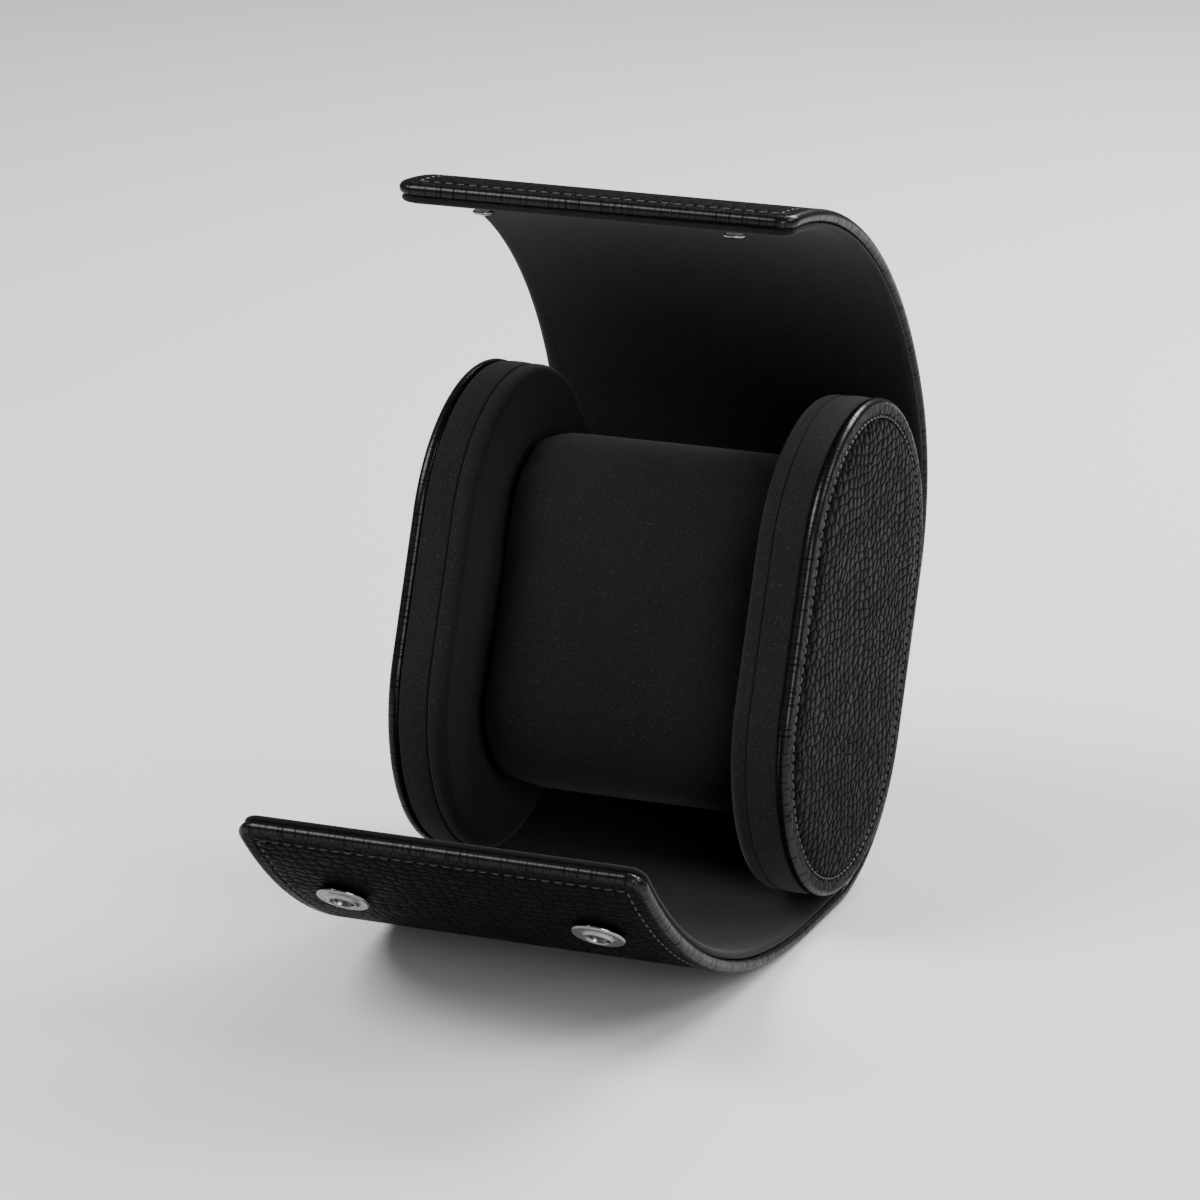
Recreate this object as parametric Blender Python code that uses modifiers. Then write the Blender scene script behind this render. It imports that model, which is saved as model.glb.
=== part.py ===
"""Single watch travel case: two padded end panels, a wrap-around flap sheet and a removable cushion.

The case is drawn upright in its own frame (X across, Y from front to back, Z along the end panels)
and then leans back so that the flat stretch of the sheet under it rests on the table.
The soft sheet is divided into stiff strips that are hinged to each other along its lining face.
"""
import math
from collections import namedtuple

import bmesh
import bpy
from mathutils import Matrix, Vector

MM = 0.001

# End panels
PANEL_HEIGHT = 100.0 * MM
PANEL_DEPTH = 70.2 * MM
CASE_WIDTH = 84.8 * MM
PANEL_THICKNESS = 12.4 * MM
FACE_THICKNESS = 2.6 * MM
FACE_LEATHER = 1.3 * MM
BAND_WIDTH = 6.1 * MM
BAND_INSET = 0.3 * MM
SUEDE = 1.2 * MM
EDGE_ROUND = 0.8 * MM

# Wrap sheet, from its lining face outwards
WRAP_EDGE_INSET = 1.3 * MM
LINING = 1.2 * MM
BOARD = 0.9 * MM
LEATHER = 1.3 * MM
TIP_CORNER = 4.0 * MM
LEAN = math.radians(21.6)

# Runs of the open flaps past the panels' straight backs: (length, turn)
UPPER_FREE = ((3.7 * MM, 0.0), (36.0 * MM, math.radians(44.0)), (98.3 * MM, math.radians(67.0)))
LOWER_FREE = ((17.0 * MM, 0.0), (26.0 * MM, math.radians(11.5)), (74.5 * MM, math.radians(39.5)))
UPPER_HINGES = tuple(MM * place for place in (10.0, 33.0, 57.0, 81.0, 105.0))
LOWER_HINGES = tuple(MM * place for place in (2.5, 12.0, 22.0, 33.0, 45.0, 59.0))

# Cushion: the room round it is what a strap takes
ROOM_BEFORE_CUSHION = 11.9 * MM
ROOM_OVER_CUSHION = 12.4 * MM
CUSHION_ROUNDING = 20.0 * MM
CUSHION_RISE = 0.4 * MM
CUSHION_FOAM = 7.0 * MM

# Snap fasteners
SNAP_FROM_SIDE = 15.1 * MM
SOCKET_RADIUS = 5.25 * MM
SOCKET_HEIGHT = 2.2 * MM
SOCKET_FLOOR = 0.4 * MM
SOCKET_LIP = 0.5 * MM
SOCKET_LIP_DROP = 0.2 * MM
SOCKET_SHOULDER = 0.8 * MM
SOCKET_RIM = 1.2 * MM
SOCKET_FROM_TIP = 23.4 * MM
STUD_RADIUS = 1.95 * MM
STUD_HEIGHT = 2.5 * MM
STUD_NECK = 0.35 * MM
STUD_HEAD = 0.9 * MM
STUD_FOOT = 0.3 * MM
STUD_FROM_TIP = 9.5 * MM
STUD_PLAY = 0.3 * MM
RIVET_SHANK = 1.5 * MM
RIVET_FLANGE = 4.2 * MM
RIVET_PLATE = 0.8 * MM

# Fits
GAP = 0.3 * MM
STEP = 3.0 * MM
ARC_STEP = math.radians(7.5)

END_RADIUS = PANEL_DEPTH / 2
HALF_STRAIGHT = PANEL_HEIGHT / 2 - END_RADIUS
WRAP_RADIUS = END_RADIUS + GAP
LINING_LAYER = (0.0, LINING)
BOARD_LAYER = (LINING + GAP, LINING + GAP + BOARD)
LEATHER_LAYER = (BOARD_LAYER[1] + GAP, BOARD_LAYER[1] + GAP + LEATHER)
WRAP_THICKNESS = LEATHER_LAYER[1]
SOLE_ARC = math.pi / 2 - LEAN
UPPER_RUNS = ((HALF_STRAIGHT, 0.0),) + UPPER_FREE
LOWER_RUNS = ((HALF_STRAIGHT, 0.0), (WRAP_RADIUS * SOLE_ARC, SOLE_ARC)) + LOWER_FREE
UPPER_START = HALF_STRAIGHT
LOWER_START = HALF_STRAIGHT + WRAP_RADIUS * SOLE_ARC
UPPER_TIP = sum(length for length, turn in UPPER_RUNS)
LOWER_TIP = -sum(length for length, turn in LOWER_RUNS)
PANEL_INNER = CASE_WIDTH / 2 - PANEL_THICKNESS
WRAP_WIDTH = CASE_WIDTH - 2 * WRAP_EDGE_INSET
SNAP_SPREAD = WRAP_WIDTH / 2 - SNAP_FROM_SIDE
CUSHION_DEPTH = PANEL_DEPTH - 2 * ROOM_BEFORE_CUSHION
CUSHION_HEIGHT = PANEL_HEIGHT - 2 * ROOM_OVER_CUSHION
CUSHION_CORNER = min(CUSHION_ROUNDING, CUSHION_DEPTH / 2 - STEP, CUSHION_HEIGHT / 2 - STEP)

Body = namedtuple("Body", "empty pivot")

# Case frame to sheet outline axes: outline x is case Y, outline y is case Z, extrusion is case X
OUTLINE_TO_CASE = Matrix(((0, 0, 1, 0), (1, 0, 0, 0), (0, 1, 0, 0), (0, 0, 0, 1)))


def clear_scene():
    for obj in list(bpy.data.objects):
        bpy.data.objects.remove(obj, do_unlink=True)


def new_collection(name):
    collection = bpy.data.collections.new(name)
    bpy.context.scene.collection.children.link(collection)
    return collection


def finish(name, colour, roughness, metallic=0.0):
    material = bpy.data.materials.new(name)
    material.use_nodes = True
    shader = material.node_tree.nodes["Principled BSDF"]
    shader.inputs["Base Color"].default_value = (*colour, 1.0)
    shader.inputs["Roughness"].default_value = roughness
    shader.inputs["Metallic"].default_value = metallic
    material.diffuse_color = (*colour, 1.0)
    return material


def wrap_frame(s):
    """Place and heading on the lining face, s metres from the middle of the back; s < 0 runs down."""
    side = 1.0 if s >= 0 else -1.0
    left = abs(s)
    y, z, heading = WRAP_RADIUS, 0.0, math.pi / 2
    for length, turn in (UPPER_RUNS if s >= 0 else LOWER_RUNS):
        part = min(left, length)
        swing = turn * part / length
        chord = part if turn == 0 else 2 * length / turn * math.sin(swing / 2)
        y += chord * math.cos(heading + swing / 2)
        z += chord * math.sin(heading + swing / 2)
        heading += swing
        left -= part
        if left <= 0:
            break
    return y, side * z, math.sin(heading), -side * math.cos(heading)


def wrap_point(s, depth):
    y, z, normal_y, normal_z = wrap_frame(s)
    return y + depth * normal_y, z + depth * normal_z


def stadium(inset, lift=0.0):
    """Outline of an end panel, drawn in by inset."""
    radius = END_RADIUS - inset
    count = round(math.pi / ARC_STEP)
    points = []
    for end in (1, -1):
        for k in range(count + 1):
            angle = math.pi * k / count + (0.0 if end > 0 else math.pi)
            points.append((radius * math.cos(angle), radius * math.sin(angle) + end * HALF_STRAIGHT + lift))
    return points


def rounded_box(inset):
    """Outline of the cushion's side, drawn in by inset."""
    radius = CUSHION_CORNER - inset
    half_y = CUSHION_DEPTH / 2 - CUSHION_CORNER
    half_z = CUSHION_HEIGHT / 2 - CUSHION_CORNER
    count = round(math.pi / 2 / ARC_STEP)
    points = []
    for corner, (side_y, side_z) in enumerate(((1, 1), (-1, 1), (-1, -1), (1, -1))):
        for k in range(count + 1):
            angle = math.pi / 2 * (corner + k / count)
            y = side_y * half_y + radius * math.cos(angle)
            z = side_z * half_z + radius * math.sin(angle) + CUSHION_RISE
            points.append((y, z))
    return points


def strip_outline(start, end, layer):
    """Side outline of one layer of the sheet between two places along it."""
    marks = [start]
    spare = 0.0
    if end in (UPPER_TIP, LOWER_TIP):
        spare = math.copysign(TIP_CORNER + GAP, end)
    stretch = end - spare - start
    count = max(1, math.ceil(abs(stretch) / STEP))
    marks += [start + stretch * k / count for k in range(1, count + 1)]
    if spare:
        marks.append(end)
    inner = [wrap_point(s, layer[0]) for s in marks]
    outer = [wrap_point(s, layer[1]) for s in reversed(marks)]
    return inner + outer


def extruded(name, outline, low_x, high_x):
    """Mesh of a flat outline carried along X from low_x to high_x."""
    curve = bpy.data.curves.new(name, "CURVE")
    curve.dimensions = "2D"
    curve.fill_mode = "BOTH"
    curve.extrude = (high_x - low_x) / 2
    spline = curve.splines.new("POLY")
    spline.points.add(len(outline) - 1)
    for point, (y, z) in zip(spline.points, outline):
        point.co = (y, z, 0.0, 1.0)
    spline.use_cyclic_u = True
    drawn = bpy.data.objects.new(name, curve)
    bpy.context.scene.collection.objects.link(drawn)
    bpy.context.view_layer.update()
    mesh = bpy.data.meshes.new_from_object(drawn.evaluated_get(bpy.context.evaluated_depsgraph_get()))
    bpy.data.objects.remove(drawn, do_unlink=True)
    mesh.transform(Matrix.Translation((low_x / 2 + high_x / 2, 0.0, 0.0)) @ OUTLINE_TO_CASE)
    tidy = bmesh.new()
    tidy.from_mesh(mesh)
    bmesh.ops.remove_doubles(tidy, verts=tidy.verts, dist=1e-6)
    bmesh.ops.dissolve_limit(tidy, angle_limit=0.002, verts=tidy.verts, edges=tidy.edges)
    bmesh.ops.recalc_face_normals(tidy, faces=tidy.faces)
    tidy.to_mesh(mesh)
    tidy.free()
    mesh.name = name
    return mesh


def round_corners(mesh, tip):
    """Round the two corners of a flap's tip, seen from its face."""
    tip_y, tip_z, normal_y, normal_z = wrap_frame(tip)

    def from_tip(point):
        return abs((point.y - tip_y) * normal_z - (point.z - tip_z) * normal_y)

    work = bmesh.new()
    work.from_mesh(mesh)
    corners = []
    for edge in work.edges:
        a, b = (vert.co for vert in edge.verts)
        if abs(a.x - b.x) < 1e-6 and max(from_tip(a), from_tip(b)) < 0.1 * MM:
            corners.append(edge)
    bmesh.ops.bevel(work, geom=corners, offset=TIP_CORNER, offset_type="OFFSET", segments=5,
                    profile=0.5, affect="EDGES")
    work.to_mesh(mesh)
    work.free()


def place(name, mesh, body, material, collection):
    """Object for one sub-part, carried by its body's empty; the mesh is in the case frame."""
    obj = bpy.data.objects.new(name, mesh)
    mesh.materials.clear()
    mesh.materials.append(material)
    collection.objects.link(obj)
    obj.parent = body.empty
    obj.location = -body.pivot
    return obj


def cut(obj, cutter):
    modifier = obj.modifiers.new("cut_" + cutter.name, "BOOLEAN")
    modifier.operation = "DIFFERENCE"
    modifier.solver = "EXACT"
    modifier.object = cutter


def bevel_edges(obj, width):
    modifier = obj.modifiers.new("rounded_edges", "BEVEL")
    modifier.width = width
    modifier.segments = 2
    modifier.limit_method = "ANGLE"
    modifier.angle_limit = math.radians(40.0)


def new_body(name, parent, pivot, collection):
    """Empty on a joint axis; pivot is its place in the case frame."""
    empty = bpy.data.objects.new(name + "_pivot", None)
    empty.empty_display_size = 5 * MM
    collection.objects.link(empty)
    if parent is not None:
        empty.parent = parent.empty
        empty.location = pivot - parent.pivot
    return Body(empty, pivot)


def hinge_marks():
    """Places of the hinge lines along the sheet, named by the body that turns there."""
    marks = {}
    for k, place_on_flap in enumerate(UPPER_HINGES, 1):
        marks[f"upper_flap_{k}"] = UPPER_START + place_on_flap
    for k, place_on_flap in enumerate(LOWER_HINGES, 1):
        marks[f"lower_flap_{k}"] = -(LOWER_START + place_on_flap)
    return marks


def lean_case(case):
    """Lean the case back about its middle, its sole at height 0 and its length centred on the origin."""
    marks = [UPPER_TIP * k / 200 for k in range(201)] + [LOWER_TIP * k / 200 for k in range(201)]
    reach = []
    for s in marks:
        for depth in (0.0, WRAP_THICKNESS):
            y, z = wrap_point(s, depth)
            reach.append(y * math.cos(LEAN) + z * math.sin(LEAN))
    height = HALF_STRAIGHT * math.cos(LEAN) + WRAP_RADIUS + WRAP_THICKNESS
    case.empty.location = (0.0, -(min(reach) + max(reach)) / 2, height)
    case.empty.rotation_euler = (-LEAN, 0.0, 0.0)


def make_panel(name, side, body, finishes, cutters, collection):
    """One end panel: leather face over board, suede side band and inner cup over a foam core."""

    def slab(part, outline, depth_from, depth_to, material):
        """Plate between two depths in from the panel's outer face."""
        low = side * (CASE_WIDTH / 2 - depth_from)
        high = side * (CASE_WIDTH / 2 - depth_to)
        mesh = extruded(f"{part}_{name}", outline, min(low, high), max(low, high))
        return place(f"{part}_{name}", mesh, body, material, collection)

    face = slab("face_leather", stadium(0.0), 0.0, FACE_THICKNESS, finishes["leather"])
    bevel_edges(face, EDGE_ROUND)
    recess = slab("cut_face", stadium(FACE_LEATHER), FACE_LEATHER, FACE_THICKNESS + MM, finishes["board"])
    hide_cutter(recess, cutters)
    cut(face, recess)
    slab("face_board", stadium(FACE_LEATHER + GAP), FACE_LEATHER + GAP, FACE_THICKNESS, finishes["board"])

    band_from = FACE_THICKNESS + GAP
    band_to = FACE_THICKNESS + BAND_WIDTH
    band = slab("side_band", stadium(BAND_INSET), band_from, band_to, finishes["suede"])
    bore = slab("cut_band", stadium(BAND_INSET + SUEDE), 0.0, PANEL_THICKNESS, finishes["suede"])
    hide_cutter(bore, cutters)
    cut(band, bore)

    cup = slab("inner_cup", stadium(BAND_INSET), band_to + GAP, PANEL_THICKNESS, finishes["suede"])
    bevel_edges(cup, EDGE_ROUND)
    hollow = slab("cut_cup", stadium(BAND_INSET + SUEDE), 0.0, PANEL_THICKNESS - SUEDE, finishes["suede"])
    hide_cutter(hollow, cutters)
    cut(cup, hollow)
    slab("foam_core", stadium(BAND_INSET + SUEDE + GAP), band_from, PANEL_THICKNESS - SUEDE - GAP,
         finishes["foam"])


def hide_cutter(obj, cutters):
    for owner in list(obj.users_collection):
        owner.objects.unlink(obj)
    cutters.objects.link(obj)
    obj.hide_render = True
    obj.display_type = "WIRE"


def make_strips(name, start, end, body, finishes, collection):
    """The three layers of the sheet between two places along it."""
    strips = {}
    layers = (("leather", LEATHER_LAYER, "leather"), ("board", BOARD_LAYER, "board"),
              ("lining", LINING_LAYER, "suede"))
    for layer_name, layer, material in layers:
        mesh = extruded(f"{name}_{layer_name}", strip_outline(start, end, layer),
                        -WRAP_WIDTH / 2, WRAP_WIDTH / 2)
        if end in (UPPER_TIP, LOWER_TIP):
            round_corners(mesh, end)
        strips[layer_name] = place(f"{name}_{layer_name}", mesh, body, finishes[material], collection)
    return strips


def make_wrap(bodies, finishes, collection):
    """The sheet: a fixed back between the first hinge lines, then one strip for each hinge line."""
    marks = hinge_marks()
    first_upper = marks["upper_flap_1"]
    first_lower = marks["lower_flap_1"]
    make_strips("back", first_lower + GAP / 2, first_upper - GAP / 2, bodies["case"], finishes, collection)
    tips = {}
    for flap, hinges, tip in (("upper", UPPER_HINGES, UPPER_TIP), ("lower", LOWER_HINGES, LOWER_TIP)):
        ends = [marks[f"{flap}_flap_{k}"] for k in range(1, len(hinges) + 1)] + [tip]
        half_gap = math.copysign(GAP / 2, tip)
        for k in range(1, len(hinges) + 1):
            far = tip if k == len(hinges) else ends[k] - half_gap
            body = bodies[f"{flap}_flap_{k}"]
            tips[flap] = make_strips(f"{flap}_flap_{k}", ends[k - 1] + half_gap, far, body, finishes,
                                     collection)
    return tips


def turned(name, profile, x, s, depth, outward, body, material, collection):
    """A turned piece on the sheet; profile is (radius, height) from the axis round to the axis."""
    mesh = bpy.data.meshes.new(name)
    work = bmesh.new()
    verts = [work.verts.new((radius, 0.0, height)) for radius, height in profile]
    for a, b in zip(verts, verts[1:]):
        work.edges.new((a, b))
    work.to_mesh(mesh)
    work.free()
    y, z = wrap_point(s, depth)
    _, _, normal_y, normal_z = wrap_frame(s)
    obj = place(name, mesh, body, material, collection)
    obj.location = Vector((x, y, z)) - body.pivot
    obj.rotation_euler = (math.atan2(-outward * normal_y, outward * normal_z), 0.0, 0.0)
    screw = obj.modifiers.new("turn", "SCREW")
    screw.axis = "Z"
    screw.steps = 20
    screw.render_steps = 20
    screw.use_merge_vertices = True
    screw.merge_threshold = 0.00001
    return obj


def make_snaps(bodies, tips, finishes, cutters, collection):
    """Sockets outside the lower flap, studs inside the upper flap, each on a flanged rivet."""
    lower = bodies[f"lower_flap_{len(LOWER_HINGES)}"]
    upper = bodies[f"upper_flap_{len(UPPER_HINGES)}"]
    socket_s = LOWER_TIP + SOCKET_FROM_TIP
    stud_s = UPPER_TIP - STUD_FROM_TIP
    bore = STUD_RADIUS + STUD_PLAY
    socket = (
        (0.0, SOCKET_FLOOR),
        (bore, SOCKET_FLOOR),
        (bore, SOCKET_HEIGHT - SOCKET_LIP_DROP),
        (bore + SOCKET_LIP, SOCKET_HEIGHT),
        (SOCKET_RADIUS - SOCKET_SHOULDER, SOCKET_HEIGHT - SOCKET_LIP),
        (SOCKET_RADIUS, SOCKET_HEIGHT - SOCKET_RIM),
        (SOCKET_RADIUS - GAP, 0.0),
        (0.0, 0.0),
    )
    stud = (
        (0.0, STUD_HEIGHT),
        (STUD_RADIUS - STUD_NECK, STUD_HEIGHT),
        (STUD_RADIUS, STUD_HEIGHT - STUD_NECK),
        (STUD_RADIUS, STUD_HEIGHT - STUD_HEAD),
        (STUD_RADIUS - STUD_NECK, STUD_HEIGHT - STUD_HEAD - STUD_NECK),
        (STUD_RADIUS - STUD_NECK, STUD_FOOT + STUD_NECK),
        (STUD_RADIUS, STUD_FOOT),
        (STUD_RADIUS, 0.0),
        (0.0, 0.0),
    )
    metal = finishes["nickel"]

    def rivet(length):
        """Flat flange that sinks in the board, and a shank through one outer layer."""
        return (
            (0.0, length),
            (RIVET_SHANK, length),
            (RIVET_SHANK, RIVET_PLATE),
            (RIVET_FLANGE, RIVET_PLATE),
            (RIVET_FLANGE, 0.0),
            (0.0, 0.0),
        )

    def hole(strip, x, s, radius, body):
        half = WRAP_THICKNESS
        profile = ((0.0, half), (radius, half), (radius, -half), (0.0, -half))
        cutter = turned(f"cut_{strip.name}_{side}", profile, x, s, WRAP_THICKNESS / 2, 1, body, metal, cutters)
        hide_cutter(cutter, cutters)
        cut(strip, cutter)

    for side, x in (("left", -SNAP_SPREAD), ("right", SNAP_SPREAD)):
        turned(f"snap_socket_{side}", socket, x, socket_s, WRAP_THICKNESS + GAP, 1, lower, metal, collection)
        turned(f"snap_stud_{side}", stud, x, stud_s, -GAP, -1, upper, metal, collection)
        turned(f"socket_rivet_{side}", rivet(WRAP_THICKNESS - BOARD_LAYER[0]), x, socket_s, BOARD_LAYER[0], 1,
               lower, metal, collection)
        turned(f"stud_rivet_{side}", rivet(BOARD_LAYER[1]), x, stud_s, BOARD_LAYER[1], -1,
               upper, metal, collection)
        hole(tips["lower"]["leather"], x, socket_s, RIVET_SHANK + GAP, lower)
        hole(tips["lower"]["board"], x, socket_s, RIVET_FLANGE + GAP, lower)
        hole(tips["upper"]["board"], x, stud_s, RIVET_FLANGE + GAP, upper)
        hole(tips["upper"]["lining"], x, stud_s, RIVET_SHANK + GAP, upper)


def make_cushion(body, finishes, cutters, collection):
    """Suede tube with two end caps around a rolled foam sleeve."""
    half = PANEL_INNER - GAP
    cap = half - SUEDE

    def plug(part, inset, low, high, material):
        mesh = extruded(part, rounded_box(inset), low, high)
        return place(part, mesh, body, material, collection)

    def sleeve(part, inset, wall, material):
        tube = plug(part, inset, -cap + GAP, cap - GAP, material)
        bore = plug("cut_" + part, inset + wall, -half, half, material)
        hide_cutter(bore, cutters)
        cut(tube, bore)

    sleeve("cushion_cover", 0.0, SUEDE, finishes["suede"])
    sleeve("cushion_foam", SUEDE + GAP, CUSHION_FOAM, finishes["foam"])
    for side, name in ((-1, "left"), (1, "right")):
        low, high = sorted((side * cap, side * half))
        plug(f"cushion_end_{name}", 0.0, low, high, finishes["suede"])


def make_bodies(collection):
    """One pivot for the fixed case, each hinge line and the cushion."""
    bodies = {"case": new_body("case", None, Vector((0.0, 0.0, 0.0)), collection)}
    parent = {"upper": bodies["case"], "lower": bodies["case"]}
    for name, s in hinge_marks().items():
        y, z = wrap_point(s, 0.0)
        flap = name.split("_")[0]
        bodies[name] = new_body(name, parent[flap], Vector((0.0, y, z)), collection)
        parent[flap] = bodies[name]
    bodies["cushion"] = new_body("cushion", bodies["case"], Vector((0.0, 0.0, CUSHION_RISE)), collection)
    return bodies


def main():
    clear_scene()
    collection = new_collection("watch_travel_case")
    cutters = new_collection("cutters")
    finishes = {
        "leather": finish("black_grained_leather", (0.012, 0.012, 0.013), 0.48),
        "suede": finish("black_suede", (0.009, 0.009, 0.010), 0.95),
        "board": finish("grey_board", (0.16, 0.15, 0.14), 0.9),
        "foam": finish("grey_foam", (0.09, 0.09, 0.095), 0.95),
        "nickel": finish("polished_nickel", (0.66, 0.65, 0.63), 0.18, 1.0),
    }
    bodies = make_bodies(collection)
    lean_case(bodies["case"])
    for side, name in ((-1, "left"), (1, "right")):
        make_panel(name, side, bodies["case"], finishes, cutters, collection)
    tips = make_wrap(bodies, finishes, collection)
    make_snaps(bodies, tips, finishes, cutters, collection)
    make_cushion(bodies["cushion"], finishes, cutters, collection)


main()
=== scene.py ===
"""Looks of a travel case for one watch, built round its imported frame.

The case stands open, leaning back on its sheet: two padded end panels, a grained leather sheet lined with
suede that wraps round them, a cushion between them, and two snap fasteners. Lengths are in metres. The case
is worked out upright in its own frame (x across, y from front to back, z along the end panels) and then leant
back into the row frame.
"""

import math

import bmesh
import bpy
import numpy as np
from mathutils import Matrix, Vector


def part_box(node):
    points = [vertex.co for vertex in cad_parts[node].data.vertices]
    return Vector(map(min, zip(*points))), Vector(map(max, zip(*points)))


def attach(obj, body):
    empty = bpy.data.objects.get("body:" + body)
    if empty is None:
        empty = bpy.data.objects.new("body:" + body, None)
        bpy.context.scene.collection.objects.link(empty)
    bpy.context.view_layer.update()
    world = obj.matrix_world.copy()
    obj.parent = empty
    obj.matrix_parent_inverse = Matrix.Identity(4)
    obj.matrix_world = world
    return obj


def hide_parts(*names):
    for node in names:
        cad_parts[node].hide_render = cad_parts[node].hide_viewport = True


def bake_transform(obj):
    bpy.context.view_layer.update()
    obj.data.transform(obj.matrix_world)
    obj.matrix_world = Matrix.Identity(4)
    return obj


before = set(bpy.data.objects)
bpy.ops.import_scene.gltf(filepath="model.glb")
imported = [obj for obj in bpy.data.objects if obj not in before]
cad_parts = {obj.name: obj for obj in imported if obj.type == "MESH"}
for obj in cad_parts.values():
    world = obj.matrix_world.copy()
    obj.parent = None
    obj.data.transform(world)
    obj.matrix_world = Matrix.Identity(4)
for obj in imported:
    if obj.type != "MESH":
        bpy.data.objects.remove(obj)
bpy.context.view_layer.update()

MM = 0.001

# End panels
PANEL_HEIGHT = 100.0 * MM
PANEL_DEPTH = 70.2 * MM
CASE_WIDTH = 84.8 * MM
PANEL_THICKNESS = 12.4 * MM
FACE_THICKNESS = 2.6 * MM
BAND_WIDTH = 6.1 * MM
BAND_INSET = 0.3 * MM
SUEDE = 1.2 * MM
GAP = 0.3 * MM
SEAM_ROUND = 0.55 * MM
CUP_ROUND = 2.2 * MM
FACE_STITCH_INSET = 3.7 * MM
FACE_STITCH_DEPTH = 0.26 * MM
FACE_STITCH_STEP = 1.9 * MM
FACE_STITCH_LENGTH = 1.45 * MM
FACE_STITCH_WIDTH = 0.5 * MM

# Sheet
WRAP_WIDTH = 82.2 * MM
LEATHER_BACK = 1.45 * MM
WRAP_THICKNESS = 4.0 * MM
LINING_BACK = 1.35 * MM
LINING_INSET = 0.5 * MM
STITCH_INSET = 3.9 * MM
STITCH_DEPTH = 0.16 * MM
STITCH_STEP = 2.5 * MM
STITCH_LENGTH = 1.7 * MM
STITCH_WIDTH = 0.4 * MM
LINING_SHOULDER = 1.3 * MM
ROLL_RISE = 0.22 * MM
ROLL_INWARDS = 1.7 * MM
ROLL_SPREAD = 0.8 * MM
TIP_CORNER = 4.0 * MM
LEAN = math.radians(21.6)
# Length and turn of each stretch of a free flap
UPPER_FREE = ((3.7 * MM, 0.0), (36.0 * MM, math.radians(44.0)), (98.3 * MM, math.radians(67.0)))
LOWER_FREE = ((17.0 * MM, 0.0), (26.0 * MM, math.radians(11.5)), (74.5 * MM, math.radians(39.5)))
# Hinge lines from a flap's start; the sheet is cut across between them, where it is stiff
UPPER_HINGES = tuple(MM * place for place in (10.0, 33.0, 57.0, 81.0, 105.0))
LOWER_HINGES = tuple(MM * place for place in (2.5, 12.0, 22.0, 33.0, 45.0, 59.0))
FIRST_CUT_BACK = 5.9 * MM
# The second cut of the lower flap is shifted, so that the strip before it is long enough
SHORT_STRIP_SHIFT = 0.35 * MM
BEND_SHARE = 0.96
LONGEST_BEND = 12.0 * MM

# Cushion
CUSHION_DEPTH = 46.4 * MM
CUSHION_HEIGHT = 75.2 * MM
CUSHION_CORNER = 20.0 * MM
CUSHION_RISE = 0.4 * MM
CUSHION_EDGE = 3.2 * MM
ROOM_TO_SWELL = 1.4 * MM
MOST_SWELL = 1.6 * MM
CLOTH_CELL = 4.0 * MM

# Snap fasteners
SNAP_SPREAD = 26.0 * MM
SOCKET_FROM_TIP = 23.4 * MM
STUD_FROM_TIP = 9.5 * MM

# Finishes
PEBBLES_PER_METRE = 500.0
FACE_GRAIN = 0.5 * MM
SHEET_GRAIN = 0.28 * MM
FACE_RIM = 3.5 * MM
SHEET_RIM = 3.0 * MM
WRINKLE_DEPTH = 0.1 * MM
WAX_FULL = 0.6 * MM
WAX_NONE = 1.5 * MM
NAP_DEPTH = 0.12 * MM
LEATHER_BLACK = (0.0032, 0.0032, 0.0034)
# Painted shade: the darker colour of the creases between pebbles stands in for the shade that falls in them
CREASE_PAINTED_SHADE = (0.0016, 0.0016, 0.0017)
LINING_BLACK, LINING_FLECK = (0.002, 0.002, 0.0022), (0.024, 0.024, 0.025)
PANEL_BLACK, PANEL_FLECK = (0.0036, 0.0036, 0.0039), (0.034, 0.034, 0.035)
CUSHION_BLACK, CUSHION_FLECK = (0.0027, 0.0027, 0.003), (0.027, 0.027, 0.028)
NICKEL_DARK, NICKEL_LIGHT = (0.2, 0.197, 0.192), (0.32, 0.315, 0.305)
THREAD_DARK, THREAD_LIGHT = (0.009, 0.009, 0.01), (0.03, 0.03, 0.032)
BOARD_GREY = (0.16, 0.15, 0.14)
FOAM_GREY = (0.09, 0.09, 0.095)
# Finish of a carried-over node by the first of these words in its name
CARRIED_FINISHES = (("rivet", "nickel"), ("foam", "foam"), ("board", "board"))

# Stage: each softbox has a name, a place, a size and a power
CAMERA_PLACE = (0.377, -0.934, 0.380)
CAMERA_TARGET = (-0.0134, 0.0346, 0.0564)
CAMERA_LENS = 161.9
FLOOR_REACH = 6.0
FLOOR_COLOUR = (0.74, 0.73, 0.72, 1.0)
ROOM_COLOUR = (0.93, 0.94, 0.96, 1.0)
ROOM_STRENGTH = 0.22
SOFTBOXES = (
    ("key_softbox", (-0.55, -0.45, 0.85), (0.6, 0.5), 14.0),
    ("rim_softbox", (0.25, 0.75, 0.75), (0.7, 0.35), 18.0),
    ("fill_softbox", (0.75, -0.8, 0.4), (0.5, 0.5), 6.0),
    ("side_softbox", (0.85, 0.1, 0.75), (0.4, 0.4), 5.0),
)

END_RADIUS = PANEL_DEPTH / 2
HALF_STRAIGHT = PANEL_HEIGHT / 2 - END_RADIUS
WRAP_RADIUS = END_RADIUS + GAP
SOLE_ARC = math.pi / 2 - LEAN
UPPER_RUNS = ((HALF_STRAIGHT, 0.0),) + UPPER_FREE
LOWER_RUNS = ((HALF_STRAIGHT, 0.0), (WRAP_RADIUS * SOLE_ARC, SOLE_ARC)) + LOWER_FREE
UPPER_START = HALF_STRAIGHT
LOWER_START = HALF_STRAIGHT + WRAP_RADIUS * SOLE_ARC
UPPER_TIP = sum(length for length, turn in UPPER_RUNS)
LOWER_TIP = -sum(length for length, turn in LOWER_RUNS)
PANEL_INNER = CASE_WIDTH / 2 - PANEL_THICKNESS

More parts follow.
